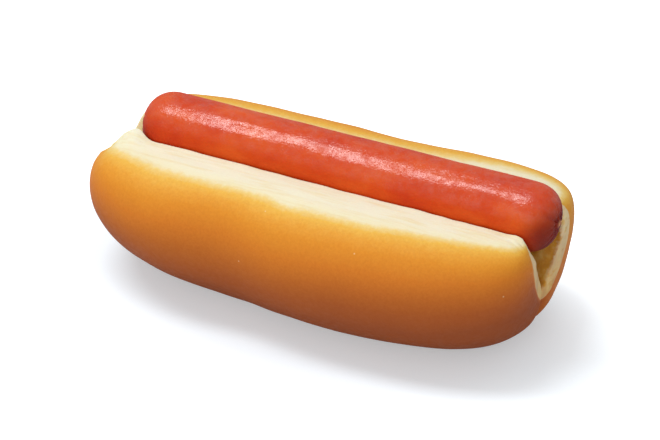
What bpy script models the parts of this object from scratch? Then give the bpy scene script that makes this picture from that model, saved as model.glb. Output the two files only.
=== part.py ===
"""Hot dog: one hinged bun, cut along its top and standing on its hinge, holding one frankfurter."""
import bpy
import numpy as np

# ---- frankfurter: a straight round sausage with domed ends
FRANK_LENGTH = 0.1245
FRANK_RADIUS = 0.0095
FRANK_AXIS_HEIGHT = 0.0430
FRANK_OFFSET_X = 0.0071
FRANK_SIDES = 32
FRANK_BARREL_STEPS = 10
FRANK_DOME_STEPS = 8

# ---- slit: two flat cut faces that open from the hinge into a cradle round the sausage
FIT_GAP = 0.0003
HINGE_HEIGHT = 0.0195

# ---- bun section: half widths and heights, named from the lip down to the foot
LIP_HEIGHT = FRANK_AXIS_HEIGHT
FRONT_CREST = (0.0155, 0.0432)
FRONT_SHOULDER = (0.0288, 0.0390)
FRONT_BELLY = (0.0318, 0.0170)
FRONT_FOOT = (0.0210, 0.0036)
BACK_CREST = (0.0155, 0.0440)
BACK_SHOULDER = (0.0245, 0.0412)
BACK_BELLY = (0.0280, 0.0225)
BACK_FOOT = (0.0220, 0.0036)
BASE_EDGE = (0.0120, -0.0005)
BASE_MIDDLE = (0.0, -0.0005)

# ---- bun ends: how far each half reaches, where its lip stops and where the hinge stops
HINGE_LEFT = -0.0673
HINGE_RIGHT = 0.0663
FRONT_REACH_LEFT = -0.0691
FRONT_LIP_LEFT = -0.0576
FRONT_REACH_RIGHT = 0.0664
FRONT_LIP_RIGHT = 0.0630
BACK_REACH_LEFT = -0.0659
BACK_LIP_LEFT = -0.0573
BACK_REACH_RIGHT = 0.0694
BACK_LIP_RIGHT = 0.0637
LIP_ROUND_LEFT = 3.0
LIP_ROUND_RIGHT = 6.0
HINGE_ROUND = 2.0

# ---- bun plan: bluntness of the four ends, swelling towards one end and a soft waist
FRONT_BLUNT = (2.2, 3.3)
BACK_BLUNT = (5.0, 6.5)
MIDDLE_BLUNT = (3.2, 4.2)
BLUNT_BLEND = 0.35
END_ROUND = 2.9
FRONT_TAPER = -0.09
BACK_TAPER = 0.16
FRONT_WAIST = (0.10, -0.24, 0.24)
BACK_WAIST = (0.11, 0.22, 0.39)

# ---- fineness of the bun's facets
HALF_STEPS = 18
LENGTH_STEPS = 48


def clear_scene():
    for old in list(bpy.data.objects):
        bpy.data.objects.remove(old, do_unlink=True)


def smooth_curve(points, count):
    """Natural cubic through the named points, returned as evenly spaced points."""
    points = np.array(points, float)
    legs = np.linalg.norm(np.diff(points, axis=0), axis=1)
    knots = np.concatenate([[0.0], np.cumsum(legs)])
    total = len(knots)
    matrix = np.eye(total)
    right = np.zeros((total, 2))
    for i in range(1, total - 1):
        before = knots[i] - knots[i - 1]
        after = knots[i + 1] - knots[i]
        matrix[i, i - 1] = before
        matrix[i, i] = 2.0 * (before + after)
        matrix[i, i + 1] = after
        slope_after = (points[i + 1] - points[i]) / after
        slope_before = (points[i] - points[i - 1]) / before
        right[i] = 6.0 * (slope_after - slope_before)
    bend = np.linalg.solve(matrix, right)
    fine = np.linspace(0.0, knots[-1], 2001)
    leg = np.clip(np.searchsorted(knots, fine, side="right") - 1, 0, total - 2)
    width = (knots[leg + 1] - knots[leg])[:, None]
    a = (knots[leg + 1] - fine)[:, None] / width
    b = (fine - knots[leg])[:, None] / width
    cubic = ((a ** 3 - a) * bend[leg] + (b ** 3 - b) * bend[leg + 1]) * width ** 2 / 6.0
    return even_spacing(a * points[leg] + b * points[leg + 1] + cubic, count)


def even_spacing(path, count):
    legs = np.linalg.norm(np.diff(path, axis=0), axis=1)
    along = np.concatenate([[0.0], np.cumsum(legs)])
    wanted = np.linspace(0.0, along[-1], count)
    return np.stack([np.interp(wanted, along, path[:, 0]), np.interp(wanted, along, path[:, 1])], -1)


def cut_face(count):
    """Half of the slit, from the hinge up: a flat face, then the cradle round the sausage."""
    radius = FRANK_RADIUS + FIT_GAP
    half_angle = np.arcsin(radius / (FRANK_AXIS_HEIGHT - HINGE_HEIGHT))
    angles = np.linspace(half_angle, 0.0, 40)
    cradle = np.stack([radius * np.cos(angles), FRANK_AXIS_HEIGHT - radius * np.sin(angles)], -1)
    return even_spacing(np.vstack([[[0.0, HINGE_HEIGHT]], cradle]), count)


def half_section(crest, shoulder, belly, foot, count):
    lip = (FRANK_RADIUS + FIT_GAP, LIP_HEIGHT)
    return smooth_curve([lip, crest, shoulder, belly, foot, BASE_EDGE, BASE_MIDDLE], count)[::-1]


def end_position(rise, reach, lip, hinge, lip_round):
    return reach + (lip - reach) * rise ** lip_round + (hinge - reach) * (1.0 - rise) ** HINGE_ROUND


def fatness(along, taper, waist):
    depth, place, width = waist
    return 1.0 + taper * along - depth * np.exp(-((along - place) / width) ** 2)


def half_bun(side):
    """Points of the crust and of the cut face of one half, over (section step, length step)."""
    front = side < 0
    count = HALF_STEPS + 1
    if front:
        crust = half_section(FRONT_CREST, FRONT_SHOULDER, FRONT_BELLY, FRONT_FOOT, count)
        ends = (FRONT_REACH_LEFT, FRONT_LIP_LEFT, FRONT_REACH_RIGHT, FRONT_LIP_RIGHT)
        blunt, taper, waist = FRONT_BLUNT, FRONT_TAPER, FRONT_WAIST
    else:
        crust = half_section(BACK_CREST, BACK_SHOULDER, BACK_BELLY, BACK_FOOT, count)
        ends = (BACK_REACH_LEFT, BACK_LIP_LEFT, BACK_REACH_RIGHT, BACK_LIP_RIGHT)
        blunt, taper, waist = BACK_BLUNT, BACK_TAPER, BACK_WAIST
    cut = cut_face(count)
    rise = (cut[:, 1] - HINGE_HEIGHT) / (LIP_HEIGHT - HINGE_HEIGHT)
    left = end_position(rise, ends[0], ends[1], HINGE_LEFT, LIP_ROUND_LEFT)[:, None]
    right = end_position(rise, ends[2], ends[3], HINGE_RIGHT, LIP_ROUND_RIGHT)[:, None]
    even = np.linspace(-1.0, 1.0, LENGTH_STEPS + 1)
    crowded = 1.0 - (1.0 - np.abs(even)) ** 3
    along = (np.sign(even) * (0.6 * crowded + 0.4 * np.abs(even)))[None, :]
    middle = 0.5 * (ends[0] + ends[2])
    x = np.where(along < 0.0, middle + (left - middle) * -along, middle + (right - middle) * along)
    share = np.clip(np.linspace(0.0, 1.0, count) / BLUNT_BLEND, 0.0, 1.0)[:, None]
    share = share * share * (3.0 - 2.0 * share)
    power_left = MIDDLE_BLUNT[0] + (blunt[0] - MIDDLE_BLUNT[0]) * share
    power_right = MIDDLE_BLUNT[1] + (blunt[1] - MIDDLE_BLUNT[1]) * share
    power = np.where(along < 0.0, power_left, power_right)
    swell = (1.0 - np.abs(along) ** power) ** (1.0 / END_ROUND)
    fat = fatness(along, taper, waist)
    y = cut[:, :1] + (crust[:, :1] - cut[:, :1]) * swell * fat
    z = cut[:, 1:] + (crust[:, 1:] - cut[:, 1:]) * swell
    outer = np.stack([x, side * y, np.maximum(z, 0.0)], -1)
    inner = np.stack([x, side * cut[:, :1] + 0.0 * x, cut[:, 1:] + 0.0 * x], -1)
    return outer, inner


def bun_mesh():
    """Crust and cut faces as two sheets from the front lip to the back lip, sharing their rim."""
    front_outer, front_inner = half_bun(-1.0)
    back_outer, back_inner = half_bun(1.0)
    middle_x = 0.5 * (front_outer[0, :, 0] + back_outer[0, :, 0])
    for sheet in (front_outer, front_inner, back_outer, back_inner):
        sheet[0, :, 0] = middle_x
    outer = np.concatenate([front_outer[::-1], back_outer[1:]], 0)
    inner = np.concatenate([front_inner[::-1], back_inner[1:]], 0)
    rows, columns = outer.shape[:2]
    outer_index = np.arange(rows * columns).reshape(rows, columns)
    inner_index = outer_index.copy()
    inside = inner[1:-1, 1:-1].reshape(-1, 3)
    inner_index[1:-1, 1:-1] = rows * columns + np.arange(len(inside)).reshape(rows - 2, columns - 2)
    points = np.concatenate([outer.reshape(-1, 3), inside], 0)
    faces = grid_faces(outer_index).tolist() + grid_faces(inner_index)[:, ::-1].tolist()
    return points, faces


def grid_faces(index):
    corners = [index[:-1, :-1], index[1:, :-1], index[1:, 1:], index[:-1, 1:]]
    return np.stack(corners, -1).reshape(-1, 4)


def frank_mesh():
    """The sausage's half profile, dome, barrel, dome, turned once round its axis."""
    barrel = 0.5 * FRANK_LENGTH - FRANK_RADIUS
    dome = np.linspace(0.0, 0.5 * np.pi, FRANK_DOME_STEPS + 1)[1:]
    left_x = -barrel - FRANK_RADIUS * np.cos(dome)
    dome_radius = FRANK_RADIUS * np.sin(dome)
    run = np.linspace(-barrel, barrel, FRANK_BARREL_STEPS + 1)[1:-1]
    profile_x = np.concatenate([left_x, run, -left_x[::-1]])
    profile_r = np.concatenate([dome_radius, np.full(len(run), FRANK_RADIUS), dome_radius[::-1]])
    turn = np.arange(FRANK_SIDES) * 2.0 * np.pi / FRANK_SIDES
    x = FRANK_OFFSET_X + profile_x[:, None] + 0.0 * turn
    y = profile_r[:, None] * np.cos(turn)
    z = FRANK_AXIS_HEIGHT + profile_r[:, None] * np.sin(turn)
    rings = np.stack([x, y, z], -1)
    tips = FRANK_OFFSET_X + np.array([-0.5, 0.5]) * FRANK_LENGTH
    poles = np.stack([tips, [0.0, 0.0], [FRANK_AXIS_HEIGHT] * 2], -1)
    points = np.concatenate([rings.reshape(-1, 3), poles], 0)
    count = len(profile_x)
    index = np.arange(count * FRANK_SIDES).reshape(count, FRANK_SIDES)
    wrapped = np.concatenate([index, index[:, :1]], 1)
    faces = grid_faces(wrapped)[:, ::-1].tolist()
    left_pole, right_pole = len(points) - 2, len(points) - 1
    faces += [(left_pole, wrapped[0, i + 1], wrapped[0, i]) for i in range(FRANK_SIDES)]
    faces += [(right_pole, wrapped[-1, i], wrapped[-1, i + 1]) for i in range(FRANK_SIDES)]
    return points, faces


def add_node(name, points, faces, colour, roughness):
    mesh = bpy.data.meshes.new(name)
    mesh.from_pydata(points.tolist(), [], [tuple(int(i) for i in face) for face in faces])
    mesh.update()
    material = bpy.data.materials.new(name)
    material.use_nodes = True
    shader = material.node_tree.nodes["Principled BSDF"]
    shader.inputs["Base Color"].default_value = (*colour, 1.0)
    shader.inputs["Roughness"].default_value = roughness
    mesh.materials.append(material)
    node = bpy.data.objects.new(name, mesh)
    bpy.context.scene.collection.objects.link(node)


clear_scene()
bun_points, bun_faces = bun_mesh()
frank_points, frank_faces = frank_mesh()
everything = np.concatenate([bun_points, frank_points], 0)
footprint_middle = 0.5 * (everything.min(0) + everything.max(0))
footprint_middle[2] = 0.0
add_node("bun", bun_points - footprint_middle, bun_faces, (0.70, 0.33, 0.09), 0.55)
add_node("frank", frank_points - footprint_middle, frank_faces, (0.62, 0.09, 0.03), 0.30)
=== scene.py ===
import math

import bpy
import numpy as np
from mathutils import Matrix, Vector


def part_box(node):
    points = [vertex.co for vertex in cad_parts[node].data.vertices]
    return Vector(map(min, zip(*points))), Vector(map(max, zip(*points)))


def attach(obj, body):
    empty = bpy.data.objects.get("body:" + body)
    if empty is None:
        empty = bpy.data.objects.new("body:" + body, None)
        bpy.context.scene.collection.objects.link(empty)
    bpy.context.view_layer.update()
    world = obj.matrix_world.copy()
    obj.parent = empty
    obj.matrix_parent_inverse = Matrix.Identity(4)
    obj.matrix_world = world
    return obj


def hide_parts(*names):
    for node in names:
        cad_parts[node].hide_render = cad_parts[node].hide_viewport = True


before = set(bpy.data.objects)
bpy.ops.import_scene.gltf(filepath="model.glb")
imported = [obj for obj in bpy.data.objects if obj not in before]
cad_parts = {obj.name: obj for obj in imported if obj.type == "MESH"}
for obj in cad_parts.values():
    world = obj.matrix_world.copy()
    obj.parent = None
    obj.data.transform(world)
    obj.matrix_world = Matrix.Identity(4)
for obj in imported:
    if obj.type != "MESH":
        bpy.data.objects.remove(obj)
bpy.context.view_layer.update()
frankLow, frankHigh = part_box("frank")
print("frame loaded")

mm = 0.001
noiseCells = 128
curveSamples = 2001
frankMiddle = np.array((frankLow + frankHigh) / 2 / mm)
frankRadius = (frankHigh.z - frankLow.z) / 2 / mm
frankLength = (frankHigh.x - frankLow.x) / mm


def hexToLinear(code):
    # an sRGB hex colour as the linear values that Blender's sockets take
    channels = [int(code[i:i + 2], 16) / 255.0 for i in (1, 3, 5)]
    linear = [c / 12.92 if c <= 0.04045 else ((c + 0.055) / 1.055) ** 2.4 for c in channels]
    return (*linear, 1.0)


def setInputs(tree, node, inputs):
    # an input given as a socket is linked, anything else is set
    for key, value in inputs.items():
        if isinstance(value, bpy.types.NodeSocket):
            tree.links.new(value, node.inputs[key])
        else:
            node.inputs[key].default_value = value


def addNode(tree, kind, inputs=None, output=0, stops=(), **settings):
    # one node with its settings, links and, on a ramp, its colour stops; gives back one output
    node = tree.nodes.new("ShaderNode" + kind)
    for key, value in settings.items():
        setattr(node, key, value)
    setInputs(tree, node, inputs or {})
    for i, (position, code) in enumerate(stops):
        stop = node.color_ramp.elements[i] if i < 2 else node.color_ramp.elements.new(position)
        stop.position = position
        stop.color = hexToLinear(code)
    return node.outputs[output]


def newMaterial(name):
    material = bpy.data.materials.new(name)
    material.use_nodes = True
    return material, material.node_tree


def smoothStep(t):
    # 0 below t = 0, 1 above t = 1, and 3t^2 - 2t^3 between
    t = np.clip(t, 0.0, 1.0)
    return t * t * (3.0 - 2.0 * t)


def bump(t):
    # a soft hump, e^(-t^2): 1 at t = 0 and gone by about t = 2
    return np.exp(-t * t)


def softNoise(u, v, seed):
    # value noise: seeded heights on a whole-number lattice, blended with smooth steps, from -1 to 1;
    # the whole numbers that callers add only pick a place on the lattice
    table = np.random.default_rng(seed).uniform(-1.0, 1.0, (noiseCells, noiseCells))
    iu, iv = np.floor(u).astype(int), np.floor(v).astype(int)
    fu, fv = smoothStep(u - iu), smoothStep(v - iv)
    left, right = iu % noiseCells, (iu + 1) % noiseCells
    below, above = iv % noiseCells, (iv + 1) % noiseCells
    low = table[left, below] * (1 - fu) + table[right, below] * fu
    high = table[left, above] * (1 - fu) + table[right, above] * fu
    return low * (1 - fv) + high * fv


def alongPath(path, shares):
    # points at the given shares, 0 to 1, of a path's length
    steps = np.linalg.norm(np.diff(path, axis=0), axis=1)
    run = np.concatenate([[0.0], np.cumsum(steps)])
    return np.stack([np.interp(shares * run[-1], run, path[:, i]) for i in (0, 1)], -1)


def smoothCurve(points):
    # natural cubic through the points: each leg is a blend of its two ends plus a bend that the
    # neighbouring legs share, so slope and curvature run on through every point
    points = np.array(points, float)
    knots = np.concatenate([[0.0], np.cumsum(np.linalg.norm(np.diff(points, axis=0), axis=1))])
    legs = np.diff(knots)
    slopes = np.diff(points, axis=0) / legs[:, None]
    matrix = np.eye(len(knots))
    turns = np.zeros((len(knots), 2))
    inside = np.arange(1, len(knots) - 1)
    matrix[inside, inside - 1] = legs[:-1]
    matrix[inside, inside] = 2.0 * (legs[:-1] + legs[1:])
    matrix[inside, inside + 1] = legs[1:]
    turns[inside] = 6.0 * np.diff(slopes, axis=0)
    bend = np.linalg.solve(matrix, turns)
    fine = np.linspace(0.0, knots[-1], curveSamples)
    leg = np.clip(np.searchsorted(knots, fine, side="right") - 1, 0, len(legs) - 1)
    width = legs[leg][:, None]
    a = (knots[leg + 1] - fine)[:, None] / width
    b = 1.0 - a
    cubic = ((a ** 3 - a) * bend[leg] + (b ** 3 - b) * bend[leg + 1]) * width ** 2 / 6.0
    return a * points[leg] + b * points[leg + 1] + cubic


def gridFaces(index):
    # four corners of every cell of an index grid
    return np.stack([index[:-1, :-1], index[1:, :-1], index[1:, 1:], index[:-1, 1:]], -1).reshape(-1, 4)


def gridNormals(points):
    # unit normals of a grid of points, from the cross product of its two directions
    normal = np.cross(np.gradient(points, axis=0), np.gradient(points, axis=1))
    return normal / (np.linalg.norm(normal, axis=-1, keepdims=True) + 1e-12)


def runFromEdges(points, axis):
    # way along one grid direction to the nearer of its first and last line of points
    steps = np.linalg.norm(np.diff(points, axis=axis), axis=-1)
    zero = np.zeros_like(np.take(steps, [0], axis))
    run = np.concatenate([zero, np.cumsum(steps, axis)], axis)
    return np.minimum(run, np.take(run, [-1], axis) - run)


def relax(points, faces, weight, rounds):
    # each round moves every point towards the average of its neighbours by its own weight
    edges = np.concatenate([faces[:, [i, (i + 1) % 4]] for i in range(4)])
    start, end = np.concatenate([edges, edges[:, ::-1]]).T
    count = np.bincount(start, minlength=len(points))[:, None]
    for _ in range(rounds):
        total = np.stack([np.bincount(start, points[end, i], len(points)) for i in range(3)], -1)
        points = points + weight[:, None] * (total / count - points)
    return points


def addPiece(name, points, faces, materials, attributes, faceSlots=None):
    # a smooth mesh at the origin, from points in millimetres, with one value a point for each attribute
    mesh = bpy.data.meshes.new(name)
    mesh.from_pydata((points * mm).tolist(), [], faces)
    for material in materials:
        mesh.materials.append(material)
    if faceSlots is not None:
        mesh.polygons.foreach_set("material_index", faceSlots)
    for key, values in attributes.items():
        layer = mesh.attributes.new(key, "FLOAT", "POINT")
        layer.data.foreach_set("value", values.astype(np.float32))
    mesh.polygons.foreach_set("use_smooth", np.ones(len(mesh.polygons), bool))
    mesh.update()
    piece = bpy.data.objects.new(name, mesh)
    bpy.context.scene.collection.objects.link(piece)
    return piece


# the bun, all in millimetres; pairs are its left and right ends, "section" runs from lip to base
bun = {
    "frankAlong": 7.1,              # the sausage's middle, from the bun's own middle
    "fitGap": 0.3,
    "slitBottom": 19.5,
    "baseEdge": (12.0, -0.5),
    "baseMiddle": (0.0, -0.5),
    "hingeEnds": (-67.3, 66.3),
    "lipRound": (3.0, 6.0),
    "hingeRound": 2.0,
    "middleBlunt": (3.2, 4.2),
    "bluntBlend": 0.35,
    "endRound": 2.9,
    "rowSteps": 80,                 # from the base's middle to one lip
    "rowCrowding": 1.5,             # over 1 packs the rows towards the lip
    "lengthSteps": 300,
    "endCrowding": 0.6,             # share of the columns' places that is packed towards the ends
    "front": {
        "section": [(15.5, 43.2), (28.8, 39.0), (31.8, 17.0), (21.0, 3.6)],
        "reach": (-69.1, 66.4),
        "lipEnds": (-57.6, 63.0),
        "blunt": (2.2, 3.3),
        "taper": -0.09,
        "waist": (0.10, -0.24, 0.24),       # depth, place and width of the thin stretch
        "paleStrip": (9.5, 11.5, 8.5),      # width of the unbaked strip at left, middle and right
    },
    "back": {
        "section": [(15.5, 44.0), (24.5, 41.2), (28.0, 22.5), (22.0, 3.6)],
        "reach": (-65.9, 69.4),
        "lipEnds": (-57.3, 63.7),
        "blunt": (5.0, 6.5),
        "taper": 0.16,
        "waist": (0.11, 0.22, 0.39),
        "paleStrip": (3.6, 4.2, 8.2),
    },
    "pushes": [                     # place, spread and move of each soft push that the shape has taken
        ((-54.0, -7.5, 43.5), (2.8, 4.5, 5.0), (0.0, 1.7, 2.3)),       # wraps the sausage's left end
        ((-62.5, -9.5, 39.0), (4.0, 9.0, 6.5), (0.6, 0.0, -1.9)),      # left corner hangs
        ((65.5, -9.0, 43.0), (3.5, 5.0, 3.5), (-0.4, -0.5, -1.0)),     # right corner rolls over
        ((66.5, 1.5, 10.0), (7.0, 1.8, 7.0), (-2.4, 0.0, 0.0)),        # crease between the halves, right
        ((-67.5, 1.5, 10.0), (7.0, 1.8, 7.0), (2.0, 0.0, 0.0)),        # the same, left
    ],
    "lumps": ((0.28, 17.0), (0.10, 6.5)),   # height and size of the crust's soft unevenness
    "fibreHeight": 0.07,
    "wrinkleHeight": 0.24,
    "wrinkleReach": 5.0,
    "raggedEnd": 0.55,
    "raggedLip": 0.30,
    "rimRound": 1.4,
    "rimRounds": 36,
    "cradleSteps": 40,
    "stripNarrowing": 5.0,          # width that the pale strip loses at the ends, over as long a way
    "bakeDrift": 1.1,               # how far wide drifts and small blotches move the bake
    "bakeBlotch": 0.5,
    "bakeTilt": 0.12,               # share by which the bake runs ahead at the right end
    "goldFrom": 6.0,                # way past the strip from which the ends are baked less
    "endPale": 0.75,                # share of the bake past that, that the ends lack
    "endPaleReach": 6.0,
    "endFaceFrom": (47.0, 19.0),    # way along at which the end faces start, and over which they fade in
    "endFaceAcross": (8.0, 18.0),   # their middle across the bun, and their spread
}


def cutFace(shares):
    # from the hinge up: a straight face until it meets the sausage, then an arc round the sausage
    radius = frankRadius + bun["fitGap"]
    halfAngle = math.asin(radius / (frankMiddle[2] - bun["slitBottom"]))
    angles = np.linspace(halfAngle, 0.0, bun["cradleSteps"])
    cradle = np.stack([radius * np.cos(angles), frankMiddle[2] - radius * np.sin(angles)], -1)
    return alongPath(np.vstack([[[0.0, bun["slitBottom"]]], cradle]), shares)


def endOfRow(rise, reach, lip, hinge, lipRound):
    # the half's end bulges to its reach and draws back to the lip above and the hinge below
    return reach + (lip - reach) * rise ** lipRound + (hinge - reach) * (1 - rise) ** bun["hingeRound"]


def bunHalf(name, side):
    # crust = cut face + (section curve - cut face) * swell, where swell is 1 along the middle and
    # falls to 0 at both ends as (1 - |along|^blunt)^(1/round), so the crust closes on the cut face
    half = bun[name]
    shares = 1.0 - np.linspace(1.0, 0.0, bun["rowSteps"] + 1) ** bun["rowCrowding"]
    lip = (frankRadius + bun["fitGap"], frankMiddle[2])
    outline = smoothCurve([lip, *half["section"], bun["baseEdge"], bun["baseMiddle"]])
    section = alongPath(outline[::-1], shares)
    cut = cutFace(shares)
    rise = ((cut[:, 1] - bun["slitBottom"]) / (frankMiddle[2] - bun["slitBottom"]))[:, None]
    ends = [endOfRow(rise, half["reach"][i], half["lipEnds"][i], bun["hingeEnds"][i], bun["lipRound"][i])
            for i in (0, 1)]
    even = np.linspace(-1.0, 1.0, bun["lengthSteps"] + 1)
    packed = np.sign(even) * (1.0 - (1.0 - np.abs(even)) ** 3)
    along = (bun["endCrowding"] * packed + (1.0 - bun["endCrowding"]) * even)[None, :]
    middle = sum(half["reach"]) / 2
    x = np.where(along < 0, middle + (ends[0] - middle) * -along, middle + (ends[1] - middle) * along)
    high = smoothStep(shares / bun["bluntBlend"])[:, None]
    power = [bun["middleBlunt"][i] * (1 - high) + half["blunt"][i] * high for i in (0, 1)]
    swell = (1.0 - np.abs(along) ** np.where(along < 0, power[0], power[1])) ** (1.0 / bun["endRound"])
    depth, place, width = half["waist"]
    fat = 1.0 + half["taper"] * along - depth * bump((along - place) / width)
    y = cut[:, :1] + (section[:, :1] - cut[:, :1]) * swell * fat
    z = cut[:, 1:] + (section[:, 1:] - cut[:, 1:]) * swell
    crust = np.stack([x, side * y, z], -1)
    inner = np.stack([x, side * cut[:, :1] + 0 * x, cut[:, 1:] + 0 * x], -1)
    pale = np.interp(along, (-1.0, 0.0, 1.0), half["paleStrip"]) + 0 * x
    return crust, inner, along + 0 * x, pale


def crustRelief(x, arc, fromLip, fromEnd, strip):
    # height over the smooth form = wide soft lumps + lengthwise fibres on the pale strip + slanting
    # wrinkles that die out away from the slit's ends
    lumps = sum(height * softNoise(x / size + 40, arc / size + 50, 3) for height, size in bun["lumps"])
    lumps = lumps * smoothStep(fromLip / 5.0) * smoothStep(fromEnd / 5.0)
    fibres = bun["fibreHeight"] * softNoise(x / 9.0 + 30, arc / 0.8 + 10, 6) * strip
    slant = fromLip * 0.75 + fromEnd * 0.65
    wrinkles = softNoise(slant / 1.1 + 60, (fromLip - fromEnd) / 7.0 + 20, 5)
    atEnd = bump(fromEnd / bun["wrinkleReach"]) * smoothStep(fromEnd / 0.8)
    near = atEnd * (0.35 + 0.65 * bump(fromLip / 16.0))
    return lumps + fibres + bun["wrinkleHeight"] * wrinkles * near


def buildBun(crustMaterial, crumbMaterial):
    # two sheets on one grid, the crust outside and the cut face inside, that share all four edges:
    # rows run from the front lip round the base to the back lip, columns from left to right
    front, back = bunHalf("front", -1.0), bunHalf("back", 1.0)
    for sheet in (0, 1):
        front[sheet][0, :, 0] = (front[sheet][0, :, 0] + back[sheet][0, :, 0]) / 2
    outer, inner, along, pale = (np.concatenate([f[::-1], b[1:]], 0) for f, b in zip(front, back))
    shift = np.array([frankMiddle[0] - bun["frankAlong"], frankMiddle[1], 0.0])
    outer, inner = outer + shift, inner + shift
    rows, columns = outer.shape[:2]

    fromEnd, fromLip = runFromEdges(outer, 1), runFromEdges(outer, 0)
    cutFromEnd, cutFromLip = runFromEdges(inner, 1), runFromEdges(inner, 0)
    arc = fromLip[:, [columns // 2]] + 0 * along        # the same all along a row, so the zones run straight
    x = outer[..., 0]
    halfSide = np.sign(np.arange(rows) - (rows - 1) / 2)[:, None]
    drift = softNoise(x / 24.0 + 30, arc / 20.0 + 20 * halfSide + 40, 7)
    blotch = softNoise(x / 8.0 + 50, arc / 6.0 + 20 * halfSide + 30, 8)
    # past = way from the lip beyond the pale strip, moved by noise; beyond the gold it grows more
    # slowly on the ends, which are baked less
    pale = pale - bun["stripNarrowing"] * bump(fromEnd / bun["stripNarrowing"])
    past = (arc - pale) * (1.0 + bun["bakeTilt"] * along) + bun["bakeDrift"] * drift + bun["bakeBlotch"] * blotch
    faceStart, faceFade = bun["endFaceFrom"]
    faceMiddle, faceSpread = bun["endFaceAcross"]
    acrossFace = bump((outer[..., 1] - faceMiddle) / faceSpread)
    endFace = bun["endPale"] * smoothStep((np.abs(x) - faceStart) / faceFade) * acrossFace
    paler = np.maximum(bun["endPale"] * bump(fromEnd / bun["endPaleReach"]), endFace)
    gold = bun["goldFrom"]
    past = np.where(past > gold, gold + (past - gold) * (1.0 - paler), past)
    strip = 1.0 - smoothStep((past + 1.0) / 5.0)

    relief = crustRelief(x, arc * halfSide, fromLip, fromEnd, strip)
    outer = outer + gridNormals(outer) * relief[..., None]
    outer[..., 2] = np.maximum(outer[..., 2], 0.0)
    for sheet, toEnd, toLip in ((outer, fromEnd, fromLip), (inner, cutFromEnd, cutFromLip)):
        tear = softNoise(sheet[..., 2] / 1.6 + 20, sheet[..., 1] / 6.0 + 20, 9)
        wave = softNoise(sheet[..., 0] / 3.0 + 40, halfSide * 7.3 + 30, 10)
        sheet[..., 0] -= bun["raggedEnd"] * tear * np.sign(along) * bump(toEnd / 1.6)
        sheet[..., 2] += bun["raggedLip"] * wave * bump(toLip / 2.0)
        for place, spread, move in bun["pushes"]:
            reach = bump(np.linalg.norm((sheet - place) / spread, axis=-1))[..., None]
            sheet += reach * np.array(move)
    inner[0], inner[-1], inner[:, 0], inner[:, -1] = outer[0], outer[-1], outer[:, 0], outer[:, -1]

    outerIndex = np.arange(rows * columns).reshape(rows, columns)
    innerIndex = outerIndex.copy()
    innerIndex[1:-1, 1:-1] = rows * columns + np.arange((rows - 2) * (columns - 2)).reshape(rows - 2, -1)
    outerFaces, innerFaces = gridFaces(outerIndex), gridFaces(innerIndex)[:, ::-1]
    faces = np.concatenate([outerFaces, innerFaces], 0)

    def forBoth(crust, cut):
        # every point of the crust, then those of the cut face that aren't on the shared rim
        inside = cut[1:-1, 1:-1]
        return np.concatenate([crust.reshape(-1, *crust.shape[2:]), inside.reshape(-1, *cut.shape[2:])])

    rim = np.minimum(forBoth(fromEnd, cutFromEnd), forBoth(fromLip, cutFromLip))
    points = relax(forBoth(outer, inner), faces, 0.5 * bump(rim / bun["rimRound"]), bun["rimRounds"])
    attributes = {
        "pastStrip": forBoth(past, past),
        "strip": forBoth(strip, strip),
        "fromEnd": forBoth(fromEnd, cutFromEnd),
        "along": forBoth(along, along),
    }
    slots = np.concatenate([np.zeros(len(outerFaces), int), np.ones(len(innerFaces), int)])
    return addPiece("bunBread", points, faces.tolist(), [crustMaterial, crumbMaterial], attributes, slots)


# the sausage, all in millimetres
frank = {
    "lengthSteps": 360,
    "aroundSteps": 208,
    "tipCrowding": 1.7,
    "tipBlunt": 2.45,               # 2 is a half ball, more is blunter
    "undersize": 0.10,              # the skin's mean depth under the solid that it stands for
    "waves": ((0.12, 15.0), (0.035, 5.0)),   # height and size of the skin's unevenness
    "folds": 13,
    "foldDepth": 0.50,
    "foldReach": (7.0, 2.5),        # length of the folds into each tip, and how much it varies
    "nubHeight": 0.30,
    "nubSize": 1.0,
    "pitDepth": 0.40,
    "pitPlace": 2.2,
    "pitSize": 0.9,
    "tipShadeHeight": (8.5, 9.0),     # height over the axis below which the tips' painted shade starts, and how far it fades in
    "smokedReach": (15.0, 8.0),     # the same for the painted shade's way from the tip
    # share of the painted shade that the left tip gets; the right tip, turned from the lamp, gets all of it
    "tipShadeLeft": 0.55,
    "barrelFromTip": 40.0,          # stands for "far from both tips" along the straight part
}


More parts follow.
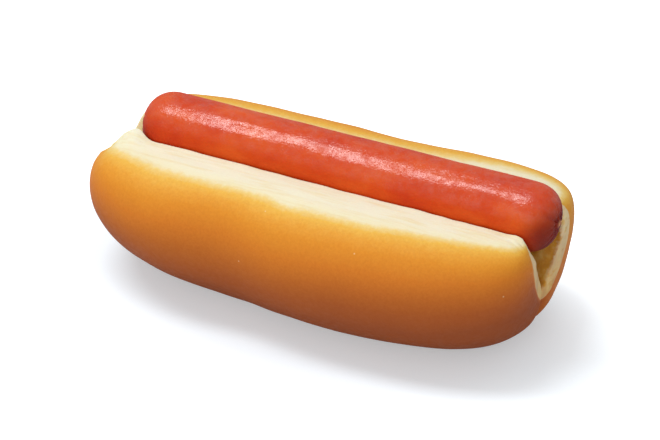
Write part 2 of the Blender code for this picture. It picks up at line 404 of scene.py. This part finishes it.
def buildFrank(casingMaterial):
    # a straight bar with blunt domed ends, where (along the dome)^blunt + (across it)^blunt = 1, moved
    # in along its own normal by: soft waves, folds that fan out from each tip, and a ring-shaped pit
    # round a small nub
    half = frankLength / 2 - frank["nubHeight"]
    even = np.linspace(-1.0, 1.0, frank["lengthSteps"] + 1)[1:-1]
    position = np.sign(even) * (1.0 - (1.0 - np.abs(even)) ** frank["tipCrowding"]) * half
    turn = np.arange(frank["aroundSteps"]) * 2 * math.pi / frank["aroundSteps"]
    x, angle = np.meshgrid(position, turn, indexing="ij")
    into = np.clip((np.abs(x) - (half - frankRadius)) / frankRadius, 0.0, 1.0)
    across = (1.0 - into ** frank["tipBlunt"]) ** (1.0 / frank["tipBlunt"])
    ahead, outward = into ** (frank["tipBlunt"] - 1.0), across ** (frank["tipBlunt"] - 1.0)
    ahead, outward = ahead / np.hypot(ahead, outward), outward / np.hypot(ahead, outward)
    fromTip = np.where(into > 0, frankRadius * np.arctan2(across, into), frank["barrelFromTip"])

    foldPlace = angle * frank["folds"] / (2 * math.pi)
    uneven = softNoise(np.cos(angle) * 2.2 + 20, np.sin(angle) * 2.2 + 9 * np.sign(x) + 30, 11)
    groove = (1.0 - np.abs(np.sin(math.pi * foldPlace + 0.9 * uneven))) ** 2
    foldNoise = softNoise(np.cos(angle) * 3 + 50, np.sin(angle) * 3 + 50, 12)
    reach = frank["foldReach"][0] + frank["foldReach"][1] * foldNoise
    fanned = smoothStep(1.0 - (fromTip - frank["nubSize"]) / reach)
    fold = groove * fanned * smoothStep(fromTip / frank["nubSize"] - 0.8)
    around = np.sin(angle) * frankRadius
    waves = sum(height * softNoise(x / size + 30, around / size + 20 + 5 * np.cos(angle), 13)
                for height, size in frank["waves"])
    pit = frank["pitDepth"] * bump((fromTip - frank["pitPlace"]) / frank["pitSize"])
    nub = frank["nubHeight"] * bump(fromTip / frank["nubSize"])
    depth = frank["undersize"] + (waves * (1 - into) + frank["foldDepth"] * fold + pit - nub)

    radius = frankRadius * across - depth * outward
    points = np.stack([x - np.sign(x) * ahead * depth, radius * np.cos(angle), radius * np.sin(angle)], -1)
    rows, columns = points.shape[:2]
    pole = half + frank["nubHeight"] - frank["undersize"]
    flat = np.concatenate([points.reshape(-1, 3), [[-pole, 0, 0], [pole, 0, 0]]], 0) + frankMiddle

    index = np.arange(rows * columns).reshape(rows, columns)
    wrapped = np.concatenate([index, index[:, :1]], 1)
    first, last = len(flat) - 2, len(flat) - 1
    startCap = np.stack([np.full(columns, first), wrapped[0, 1:], wrapped[0, :-1]], -1)
    endCap = np.stack([np.full(columns, last), wrapped[-1, :-1], wrapped[-1, 1:]], -1)
    faces = gridFaces(wrapped)[:, ::-1].tolist() + startCap.tolist() + endCap.tolist()

    # painted shade: the tips' undersides darken towards deep maroon, most at the right tip, which faces away
    # from the lamp
    low = smoothStep((frank["tipShadeHeight"][0] - radius * np.sin(angle)) / frank["tipShadeHeight"][1])
    nearTip = smoothStep((frank["smokedReach"][0] - fromTip) / frank["smokedReach"][1])
    smoked = low * nearTip * (0.85 + 0.15 * uneven) * np.where(x > 0, 1.0, frank["tipShadeLeft"])
    poles = [0.0, 0.0]
    attributes = {
        "fromTip": np.concatenate([fromTip.reshape(-1), poles]),
        "fold": np.concatenate([fold.reshape(-1), poles]),
        "smoked": np.concatenate([smoked.reshape(-1), poles]),
    }
    return addPiece("frankSausage", flat, faces, [casingMaterial], attributes)


# colours of the crust by the way past the pale strip's edge, in millimetres
crust = {
    "ramp": [(-4.0, "#f1ecd2"), (-0.5, "#f0e7c2"), (1.2, "#efd183"), (3.0, "#eeba4e"), (6.0, "#e9a338"),
             (9.5, "#e3922a"), (15.5, "#dc7f24"), (22.0, "#ca6d23"), (28.5, "#b45b22"), (37.0, "#a14f22")],
    "fibre": "#e9d49a",
    "fibreSize": 1.5,
    "mottleSize": 1.6,
    "tearSize": 2.0,
    "grain": "#c98a4a",
    "grainSize": 0.65,
    "pinHole": "#f3dca6",
    "pinHoleSpacing": 6.0,
    "torn": "#f0dcaa",
}


def makeCrust():
    # baked milk-bread crust: a satin skin, cream where it stayed pale by the slit, deep brown low down
    material, tree = newMaterial("bakedMilkBreadCrust")
    place = addNode(tree, "TexCoord", output="Object")
    pastStrip = addNode(tree, "Attribute", output="Fac", attribute_name="pastStrip")
    strip = addNode(tree, "Attribute", output="Fac", attribute_name="strip")
    fromEnd = addNode(tree, "Attribute", output="Fac", attribute_name="fromEnd")

    # the bake, softened by a fine mottle
    low, high = crust["ramp"][0][0], crust["ramp"][-1][0]
    mottle = addNode(tree, "TexNoise", {"Vector": place, "Scale": 1 / (crust["mottleSize"] * mm),
                                        "Detail": 3.0})
    sway = addNode(tree, "MapRange", {"Value": mottle, "From Min": 0.3, "From Max": 0.7, "To Min": -0.4,
                                      "To Max": 0.4})
    past = addNode(tree, "Math", {0: pastStrip, 1: sway}, operation="ADD")
    share = addNode(tree, "MapRange", {"Value": past, "From Min": low, "From Max": high})
    stops = [((at - low) / (high - low), code) for at, code in crust["ramp"]]
    baked = addNode(tree, "ValToRGB", {"Fac": share}, stops=stops)

    # lengthwise fibres in the pale strip, where the bread was pulled from its neighbour
    drawn = addNode(tree, "Mapping", {"Vector": place, "Scale": (0.1, 1.0, 1.0)})
    fibres = addNode(tree, "TexNoise", {"Vector": drawn, "Scale": 1 / (crust["fibreSize"] * mm),
                                        "Detail": 3.0,
                                        "Roughness": 0.6})
    fibreLine = addNode(tree, "MapRange", {"Value": fibres, "From Min": 0.5, "From Max": 0.72, "To Max": 0.5})
    fibreShare = addNode(tree, "Math", {0: fibreLine, 1: strip}, operation="MULTIPLY")
    fibred = addNode(tree, "Mix", {0: fibreShare, 6: baked, 7: hexToLinear(crust["fibre"])}, 2,
                     data_type="RGBA")

    # fine grain of the baked skin, which the pale strip has little of
    grain = addNode(tree, "TexNoise", {"Vector": place, "Scale": 1 / (crust["grainSize"] * mm), "Detail": 3.0,
                                       "Roughness": 0.6})
    grainLine = addNode(tree, "MapRange", {"Value": grain, "From Min": 0.35, "From Max": 0.7, "To Max": 0.16})
    onSkin = addNode(tree, "MapRange", {"Value": strip, "To Min": 1.0, "To Max": 0.25})
    grainShare = addNode(tree, "Math", {0: grainLine, 1: onSkin}, operation="MULTIPLY")
    grained = addNode(tree, "Mix", {0: grainShare, 6: fibred, 7: hexToLinear(crust["grain"])}, 2,
                      data_type="RGBA",
                      blend_type="MULTIPLY")

    # a few pale pin-holes left by bubbles
    cells = addNode(tree, "TexVoronoi", {"Vector": place, "Scale": 1 / (crust["pinHoleSpacing"] * mm)})
    hole = addNode(tree, "MapRange", {"Value": cells, "From Min": 0.025, "From Max": 0.05, "To Min": 0.5,
                                      "To Max": 0.0})
    holed = addNode(tree, "Mix", {0: hole, 6: grained, 7: hexToLinear(crust["pinHole"])}, 2, data_type="RGBA")

    # the skin is thin and pale where the knife broke it at the slit's ends
    ragged = addNode(tree, "TexNoise", {"Vector": place, "Scale": 1 / (crust["tearSize"] * mm),
                                        "Detail": 2.0})
    edge = addNode(tree, "MapRange", {"Value": ragged, "From Min": 0.3, "From Max": 0.7, "To Min": -0.5,
                                      "To Max": 0.9})
    inside = addNode(tree, "Math", {0: fromEnd, 1: edge}, operation="SUBTRACT")
    torn = addNode(tree, "MapRange", {"Value": inside, "From Min": -0.4, "From Max": 0.9, "To Min": 0.5,
                                      "To Max": 0.0},
                   interpolation_type="SMOOTHSTEP")
    colour = addNode(tree, "Mix", {0: torn, 6: holed, 7: hexToLinear(crust["torn"])}, 2, data_type="RGBA")

    roughness = addNode(tree, "MapRange", {"Value": mottle, "From Min": 0.3, "From Max": 0.7, "To Min": 0.52,
                                           "To Max": 0.68})
    stripFibres = addNode(tree, "Math", {0: fibres, 1: strip}, operation="MULTIPLY")
    height = addNode(tree, "Math", {0: stripFibres, 1: 2.5, 2: grain}, operation="MULTIPLY_ADD")
    normal = addNode(tree, "Bump", {"Height": height, "Strength": 0.45, "Distance": 0.08 * mm})
    setInputs(tree, tree.nodes["Principled BSDF"], {
        "Base Color": colour,
        "Roughness": roughness,
        "Specular IOR Level": 0.16,
        "Subsurface Weight": 0.08,
        "Subsurface Scale": 2.0 * mm,
        "Subsurface Radius": (1.0, 0.6, 0.3),
        "Normal": normal,
    })
    return material


crumb = {
    "tanRamp": [(0.3, "#b67424"), (0.5, "#d69634"), (0.7, "#e9bf6c")],
    "soft": [(0.28, "#dcbd7c"), (0.5, "#ebd59c"), (0.72, "#f3e6bf")],
    "rim": "#f2e4bd",
    "cellSize": 1.3,
    "patchSize": 4.0,
    "tearSize": 2.2,
    "rimHeight": (20.0, 40.0),      # height at which the pale rim starts and is full
}


def makeCrumb():
    # cut white bread: matt, open-pored and streaky, soft and pale at the left, darker tan at the right
    material, tree = newMaterial("cutBreadCrumb")
    place = addNode(tree, "TexCoord", output="Object")
    fromEnd = addNode(tree, "Attribute", output="Fac", attribute_name="fromEnd")
    along = addNode(tree, "Attribute", output="Fac", attribute_name="along")
    drawn = addNode(tree, "Mapping", {"Vector": place, "Scale": (1.0, 1.0, 0.4)})
    patches = addNode(tree, "TexNoise", {"Vector": drawn, "Scale": 1 / (crumb["patchSize"] * mm),
                                         "Detail": 4.0,
                                         "Roughness": 0.62})
    tanRamp = addNode(tree, "ValToRGB", {"Fac": patches}, stops=crumb["tanRamp"])
    soft = addNode(tree, "ValToRGB", {"Fac": patches}, stops=crumb["soft"])
    # darker tan towards the right end
    rightShare = addNode(tree, "MapRange", {"Value": along, "From Min": -0.6, "From Max": 0.6})
    cut = addNode(tree, "Mix", {0: rightShare, 6: soft, 7: tanRamp}, 2, data_type="RGBA")
    ragged = addNode(tree, "TexNoise", {"Vector": place, "Scale": 1 / (crumb["tearSize"] * mm),
                                        "Detail": 3.0})
    edge = addNode(tree, "MapRange", {"Value": ragged, "From Min": 0.3, "From Max": 0.7, "To Min": -0.2,
                                      "To Max": 2.2})
    inside = addNode(tree, "Math", {0: fromEnd, 1: edge}, operation="SUBTRACT")
    torn = addNode(tree, "MapRange", {"Value": inside, "From Min": -0.6, "From Max": 1.0, "To Min": 0.75,
                                      "To Max": 0.0},
                   interpolation_type="SMOOTHSTEP")
    height = addNode(tree, "SeparateXYZ", {0: place}, "Z")
    rimLow, rimHigh = (rise * mm for rise in crumb["rimHeight"])
    high = addNode(tree, "MapRange", {"Value": height, "From Min": rimLow, "From Max": rimHigh,
                                      "To Min": 0.35})
    rim = addNode(tree, "Math", {0: torn, 1: high}, operation="MULTIPLY")
    colour = addNode(tree, "Mix", {0: rim, 6: cut, 7: hexToLinear(crumb["rim"])}, 2, data_type="RGBA")
    cells = addNode(tree, "TexNoise", {"Vector": place, "Scale": 1 / (crumb["cellSize"] * mm), "Detail": 4.0,
                                       "Roughness": 0.65})
    normal = addNode(tree, "Bump", {"Height": cells, "Strength": 0.6, "Distance": 0.4 * mm})
    setInputs(tree, tree.nodes["Principled BSDF"], {
        "Base Color": colour,
        "Roughness": 0.85,
        "Specular IOR Level": 0.2,
        "Subsurface Weight": 0.12,
        "Subsurface Scale": 2.0 * mm,
        "Normal": normal,
    })
    return material


casing = {
    "meat": [(0.3, "#ca3a14"), (0.5, "#d44714"), (0.7, "#dc561b")],
    # painted shade on the tips' undersides
    "smoked": "#5a1019",
    # painted shade in the grooves of the tips' folds
    "fold": "#9c3020",
    "nub": "#d8a272",
    "patchSize": 8.0,
    "speckleSize": 0.55,
    "streakSize": 2.2,
    "skinRoughness": 0.5,
    "gloss": (0.3, 1.0),
    "moistFrom": (3.0, 7.0),        # height over the axis at which the moist top starts and is full
}


def makeCasing():
    # cooked sausage casing: a thin moist skin with a soft broken gloss over red-orange meat
    material, tree = newMaterial("cookedSausageCasing")
    place = addNode(tree, "TexCoord", output="Object")
    fromTip = addNode(tree, "Attribute", output="Fac", attribute_name="fromTip")
    fold = addNode(tree, "Attribute", output="Fac", attribute_name="fold")
    smoked = addNode(tree, "Attribute", output="Fac", attribute_name="smoked")
    drawn = addNode(tree, "Mapping", {"Vector": place, "Scale": (0.6, 1.0, 1.0)})
    patches = addNode(tree, "TexNoise", {"Vector": drawn, "Scale": 1 / (casing["patchSize"] * mm),
                                         "Detail": 3.0})
    meat = addNode(tree, "ValToRGB", {"Fac": patches}, stops=casing["meat"])
    # painted shade: deep maroon mixed in on the tips' undersides
    tipShaded = addNode(tree, "Mix", {0: smoked, 6: meat, 7: hexToLinear(casing["smoked"])}, 2,
                       data_type="RGBA")
    # painted shade: the folds' grooves darkened
    foldShadeShare = addNode(tree, "Math", {0: fold, 1: 0.8}, operation="MULTIPLY")
    foldShaded = addNode(tree, "Mix", {0: foldShadeShare, 6: tipShaded, 7: hexToLinear(casing["fold"])}, 2,
                     data_type="RGBA")
    nubShare = addNode(tree, "MapRange", {"Value": fromTip, "From Min": 0.4, "From Max": 1.3,
                                          "To Min": 0.7, "To Max": 0.0})
    colour = addNode(tree, "Mix", {0: nubShare, 6: foldShaded, 7: hexToLinear(casing["nub"])}, 2,
                     data_type="RGBA")

    # moisture lies in uneven streaks, so the gloss comes and goes
    speckle = addNode(tree, "TexNoise", {"Vector": place, "Scale": 1 / (casing["speckleSize"] * mm),
                                         "Detail": 2.0})
    streaks = addNode(tree, "TexNoise", {"Vector": place, "Scale": 1 / (casing["streakSize"] * mm),
                                         "Detail": 4.0, "Roughness": 0.65})
    wet = addNode(tree, "MapRange", {"Value": streaks, "From Min": 0.38, "From Max": 0.62,
                                     "To Min": casing["gloss"][0], "To Max": casing["gloss"][1]})
    facing = addNode(tree, "LayerWeight", {"Blend": 0.5}, "Facing")
    turned = addNode(tree, "MapRange", {"Value": facing, "From Min": 0.45, "From Max": 0.85, "To Min": 1.0,
                                        "To Max": 0.1})
    height = addNode(tree, "SeparateXYZ", {0: place}, "Z")
    moistLow, moistHigh = ((frankMiddle[2] + rise) * mm for rise in casing["moistFrom"])
    moist = addNode(tree, "MapRange", {"Value": height, "From Min": moistLow, "From Max": moistHigh,
                                       "To Min": 0.06})
    film = addNode(tree, "Math", {0: wet, 1: turned}, operation="MULTIPLY")
    gloss = addNode(tree, "Math", {0: film, 1: moist}, operation="MULTIPLY")
    grain = addNode(tree, "Math", {0: streaks, 1: 0.8, 2: speckle}, operation="MULTIPLY_ADD")
    normal = addNode(tree, "Bump", {"Height": grain, "Strength": 0.8, "Distance": 0.10 * mm})
    setInputs(tree, tree.nodes["Principled BSDF"], {
        "Base Color": colour,
        "Roughness": casing["skinRoughness"],
        "Specular IOR Level": 0.06,
        "Coat Weight": gloss,
        "Coat IOR": 1.65,
        "Coat Roughness": 0.25,
        "Coat Normal": normal,
        "Subsurface Weight": 0.1,
        "Subsurface Scale": 2.0 * mm,
        "Normal": normal,
    })
    return material


bread = buildBun(makeCrust(), makeCrumb())
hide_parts("bun")
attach(bread, "root")
print("bun built,", len(bread.data.polygons), "faces")

sausage = buildFrank(makeCasing())
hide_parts("frank")
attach(sausage, "root")
print("frankfurter built,", len(sausage.data.polygons), "faces")


# the table, the lamps and the camera, in metres and watts
stage = {
    "floorSize": 6.0,
    "floorColour": "#d3dde5",
    "floorLift": (0.35, 0.95),      # what the camera sees added to the lit board, by the object and far off
    "floorReach": (0.030, 0.062),   # from and to how far out the lift grows, over twice that lengthwise
    "floorSquash": 0.48,            # lengthwise, which makes the lift an oval
    "worldFill": 0.56,
    "lamps": [                      # name, place, size and power
        ("softboxAbove", (-0.41, -0.107, 1.20), (0.28, 0.68), 7.2),
        ("softboxInFront", (0.10, -1.15, 0.60), (1.40, 0.80), 3.3),
    ],
    "azimuth": 25.0,
    "elevation": 35.0,
    "distance": 0.56,
    "lens": 109.0,
    "aim": (0.00158, 0.00169, 0.0245),
}


def buildFloor():
    # matt white board; the camera sees it lifted to plain white by a painted glow, low by the object and full
    # far off, so the shadow stays close by and fades out early
    size = stage["floorSize"] / 2
    mesh = bpy.data.meshes.new("paleFloor")
    corners = [(-size, -size, 0), (size, -size, 0), (size, size, 0), (-size, size, 0)]
    mesh.from_pydata(corners, [], [(0, 1, 2, 3)])
    floor = bpy.data.objects.new("paleFloor", mesh)
    bpy.context.scene.collection.objects.link(floor)
    material, tree = newMaterial("mattWhiteBoard")
    place = addNode(tree, "TexCoord", output="Object")
    oval = addNode(tree, "Mapping", {"Vector": place, "Scale": (stage["floorSquash"], 1.0, 1.0)})
    away = addNode(tree, "VectorMath", {0: oval}, "Value", operation="LENGTH")
    # painted light: a glow that only the camera sees, weakest by the object, which washes out the shadow's outer
    # reach
    paintedGlow = addNode(tree, "MapRange", {"Value": away, "From Min": stage["floorReach"][0],
                                       "From Max": stage["floorReach"][1],
                                       "To Min": stage["floorLift"][0], "To Max": stage["floorLift"][1]},
                    interpolation_type="SMOOTHSTEP")
    seen = addNode(tree, "LightPath", output="Is Camera Ray")
    lift = addNode(tree, "Math", {0: seen, 1: paintedGlow}, operation="MULTIPLY")
    setInputs(tree, tree.nodes["Principled BSDF"], {
        "Base Color": hexToLinear(stage["floorColour"]),
        "Roughness": 0.9,
        "Specular IOR Level": 0.0,
        "Emission Color": (1, 1, 1, 1),
        "Emission Strength": lift,
    })
    mesh.materials.append(material)


def buildLight():
    world = bpy.data.worlds.new("studioWhite")
    bpy.context.scene.world = world
    world.use_nodes = True
    tree = world.node_tree
    seen = addNode(tree, "LightPath", output="Is Camera Ray")
    strength = addNode(tree, "MapRange", {"Value": seen, "To Min": stage["worldFill"], "To Max": 1.0})
    setInputs(tree, tree.nodes["Background"], {"Color": (1, 1, 1, 1), "Strength": strength})
    for name, place, size, power in stage["lamps"]:
        light = bpy.data.lights.new(name, "AREA")
        light.shape = "RECTANGLE"
        light.size, light.size_y = size
        light.energy = power
        lamp = bpy.data.objects.new(name, light)
        lamp.location = place
        lamp.rotation_euler = Vector(place).to_track_quat("Z", "Y").to_euler()
        bpy.context.scene.collection.objects.link(lamp)


def buildCamera():
    a, e = math.radians(stage["azimuth"]), math.radians(stage["elevation"])
    back = Vector((math.sin(a) * math.cos(e), -math.cos(a) * math.cos(e), math.sin(e)))
    data = bpy.data.cameras.new("camera")
    data.lens = stage["lens"]
    data.sensor_width = 36.0
    camera = bpy.data.objects.new("camera", data)
    camera.location = Vector(stage["aim"]) + back * stage["distance"]
    camera.rotation_euler = back.to_track_quat("Z", "Y").to_euler()
    bpy.context.scene.collection.objects.link(camera)
    bpy.context.scene.camera = camera


buildFloor()
buildLight()
buildCamera()
bpy.context.scene.view_settings.view_transform = "Standard"
print("stage set")
